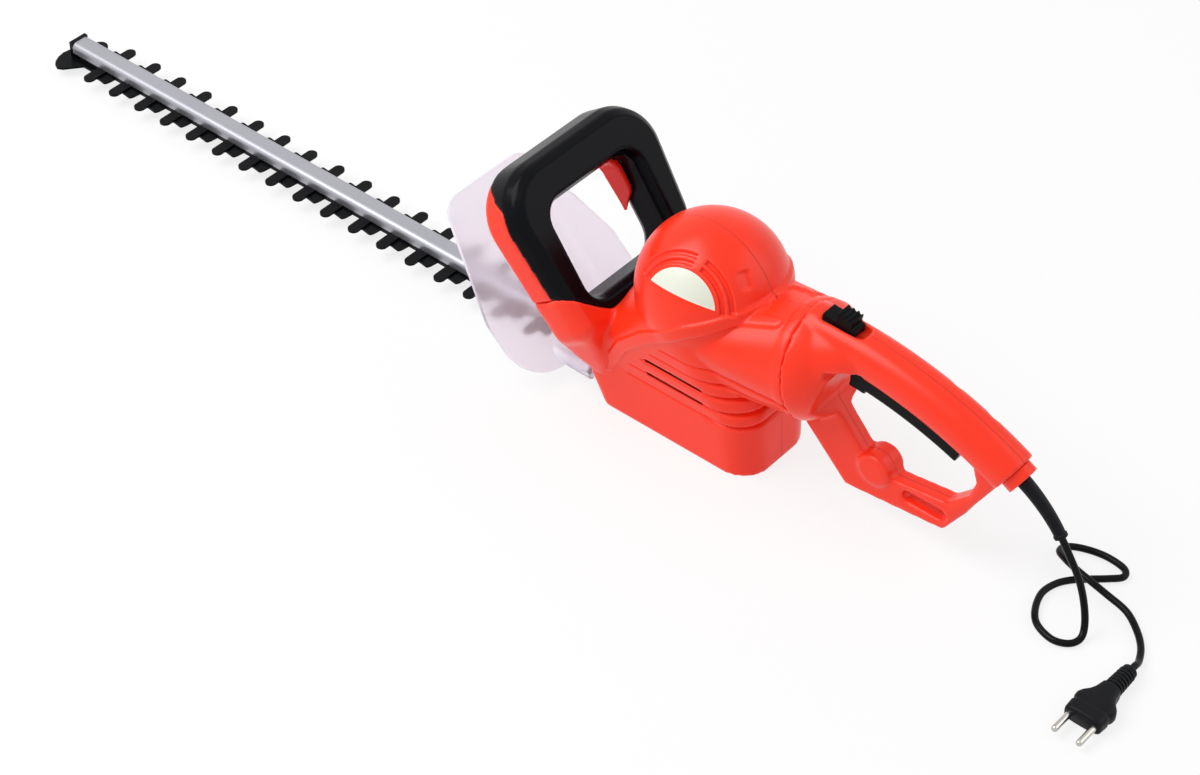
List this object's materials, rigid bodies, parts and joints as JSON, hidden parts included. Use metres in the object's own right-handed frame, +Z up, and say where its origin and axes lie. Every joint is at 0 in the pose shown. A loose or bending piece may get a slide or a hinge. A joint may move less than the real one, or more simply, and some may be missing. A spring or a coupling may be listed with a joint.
{
  "type": "hedge trimmer",
  "caption": "Corded electric hedge trimmer with a double-edged reciprocating blade, looped front handle, hand guard and a rear handle that swivels.",
  "frame": {"origin": "centre of the flat face below the gearbox that the trimmer stands on", "axes": "+Z up, -X along the blade to its tip, +X to the rear handle, +Y the remaining right-hand axis"},
  "size_m": [1.0677, 0.171, 0.1867],
  "materials": {
    "body_red": "moulded, soft gloss",
    "handle_black": "moulded, satin",
    "lever_red": "moulded, soft gloss",
    "control_black": "moulded, satin",
    "cover_grey": "moulded, fine grain",
    "guard_clear": "clear moulding, frosted",
    "label_white": "blank printed film",
    "screw_steel": "zinc plated",
    "steel": "ground steel",
    "core_steel": "stacked sheet steel",
    "blade_black": "blackened steel",
    "bar_aluminium": "extruded, fine brushed",
    "case_aluminium": "die cast",
    "copper": "enamelled winding",
    "bearing_bronze": "sintered bronze",
    "insulator": "moulded insulator",
    "carbon": "pressed carbon",
    "fan_grey": "moulded",
    "film_yellow": "epoxy dipped",
    "wire_pvc": "extruded sheath",
    "cord_black": "extruded sheath, satin",
    "plug_black": "moulded",
    "pin_brass": "plated"
  },
  "bodies": {
    "trimmer_body": {"housing_left": "body_red", "housing_right": "body_red", "bottom_cover": "cover_grey", "bottom_cover_screws": "screw_steel", "housing_screws": "screw_steel", "label_plate": "label_white", "front_handle_rear_shell": "handle_black", "front_handle_front_shell": "body_red", "front_handle_screws": "screw_steel", "hand_guard": "guard_clear", "guard_screws": "screw_steel", "blade_bar": "bar_aluminium", "blade_bolts": "steel", "tip_guard": "control_black", "gear_housing": "case_aluminium", "gearbox_cover": "case_aluminium", "gearbox_screws": "screw_steel", "gear_bearing": "steel", "gear_bush": "bearing_bronze", "motor_lower_bearing": "steel", "motor_upper_bearing": "steel", "motor_end_bracket": "case_aluminium", "stator_core": "core_steel", "field_coils": "copper", "brush_holders": "insulator", "carbon_brushes": "carbon", "brush_springs": "steel", "front_switch": "control_black", "lever_springs": "steel", "body_wiring": "wire_pvc", "cord": "cord_black", "plug_body": "plug_black", "plug_pins": "pin_brass"},
    "rotor": {"armature_shaft": "steel", "pinion": "steel", "armature_core": "core_steel", "armature_windings": "copper", "commutator": "copper", "cooling_fan": "fan_grey"},
    "drive_gear": {"large_gear": "steel", "eccentric_shaft": "steel"},
    "upper_blade": {"upper_blade": "blade_black"},
    "lower_blade": {"lower_blade": "blade_black"},
    "front_lever": {"front_lever": "lever_red"},
    "rear_handle": {"rear_handle_left": "body_red", "rear_handle_right": "body_red", "rear_handle_screws": "screw_steel", "swivel_spigot": "case_aluminium", "rear_switch": "control_black", "capacitor": "film_yellow", "trigger_pin": "steel", "trigger_spring": "steel", "handle_wiring": "wire_pvc", "cord_clamp": "insulator", "cord_collar": "body_red", "cord_sleeve": "cord_black"},
    "trigger": {"trigger": "control_black"},
    "lock_slider": {"lock_slider": "control_black"}
  },
  "joints": [
    {"name": "rotor_spin", "type": "hinge", "parent": "trimmer_body", "child": "rotor", "pos_m": [0.009, 0, 0], "axis": [0, 0, 1], "continuous": true},
    {"name": "gear_spin", "type": "hinge", "parent": "trimmer_body", "child": "drive_gear", "pos_m": [-0.0225, 0, 0], "axis": [0, 0, 1], "continuous": true},
    {"name": "upper_blade_slide", "type": "slide", "parent": "trimmer_body", "child": "upper_blade", "axis": [1, 0, 0], "range_m": [-0.007, 0.007]},
    {"name": "lower_blade_slide", "type": "slide", "parent": "trimmer_body", "child": "lower_blade", "axis": [1, 0, 0], "range_m": [-0.007, 0.007]},
    {"name": "front_lever_press", "type": "slide", "parent": "trimmer_body", "child": "front_lever", "axis": [-0.5878, 0, 0.809], "range_m": [0, 0.004], "stiffness_N_per_m": 1500, "springref_m": -0.003},
    {"name": "handle_swivel", "type": "hinge", "parent": "trimmer_body", "child": "rear_handle", "pos_m": [0.102, 0, 0.11], "axis": [0.9848, 0, 0.1736], "range_deg": [-90, 90]},
    {"name": "trigger_squeeze", "type": "hinge", "parent": "rear_handle", "child": "trigger", "pos_m": [0.24079, 0, 0.10965], "axis": [0, 1, 0], "range_deg": [0, 2.7], "stiffness_Nm_per_rad": 1.5, "springref_deg": -8.59},
    {"name": "lock_slide", "type": "slide", "parent": "rear_handle", "child": "lock_slider", "axis": [0.9945, 0, -0.1045], "range_m": [0, 0.006], "stiffness_N_per_m": 400, "springref_m": -0.005}
  ],
  "couplings": [
    {"joint": "gear_spin", "follows": "rotor_spin", "ratio": -0.16667},
    {"joint": "lower_blade_slide", "follows": "upper_blade_slide", "ratio": -1}
  ]
}
